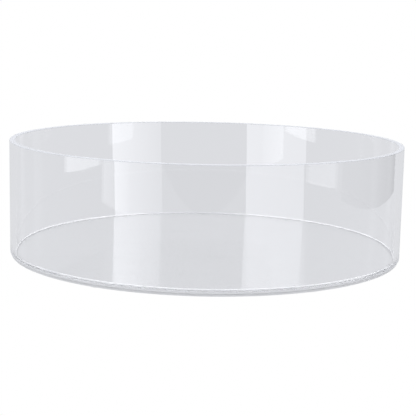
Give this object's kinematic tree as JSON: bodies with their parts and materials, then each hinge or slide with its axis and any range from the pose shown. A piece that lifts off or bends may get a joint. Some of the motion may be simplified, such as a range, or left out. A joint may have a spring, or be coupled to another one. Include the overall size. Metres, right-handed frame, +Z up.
{
  "type": "turntable display stand",
  "caption": "Clear round open-topped display drum on a low, flat ball-bearing base, so that models set inside it can be turned.",
  "frame": {"origin": "centre of the circle that the feet stand on, level with the underside of the feet", "axes": "+Z up along the axis that the drum turns about; X and Y are alike, and a foot pad lies on +X"},
  "size_m": [0.35, 0.35, 0.1015],
  "materials": {
    "wall_acrylic": "clear, polished",
    "sheet_acrylic": "clear, polished, with cut edges",
    "clear_cement": "clear, with fine bubbles",
    "cage_plastic": "clear, moulded",
    "ball_glass": "clear, polished",
    "pad_silicone": "clear, soft satin"
  },
  "bodies": {
    "base": {"base_plate": "sheet_acrylic", "foot_pads": "pad_silicone"},
    "cage": {"ball_cage": "cage_plastic", "bearing_balls": "ball_glass"},
    "drum": {"wall_ring": "wall_acrylic", "floor_disc": "sheet_acrylic", "cement_ring": "clear_cement"}
  },
  "joints": [
    {"name": "drum_spin", "type": "hinge", "parent": "base", "child": "drum", "pos_m": [0, 0, 0.00265], "axis": [0, 0, 1], "continuous": true},
    {"name": "cage_spin", "type": "hinge", "parent": "base", "child": "cage", "pos_m": [0, 0, 0.00265], "axis": [0, 0, 1], "continuous": true}
  ],
  "couplings": [
    {"joint": "cage_spin", "follows": "drum_spin", "ratio": 0.5}
  ]
}
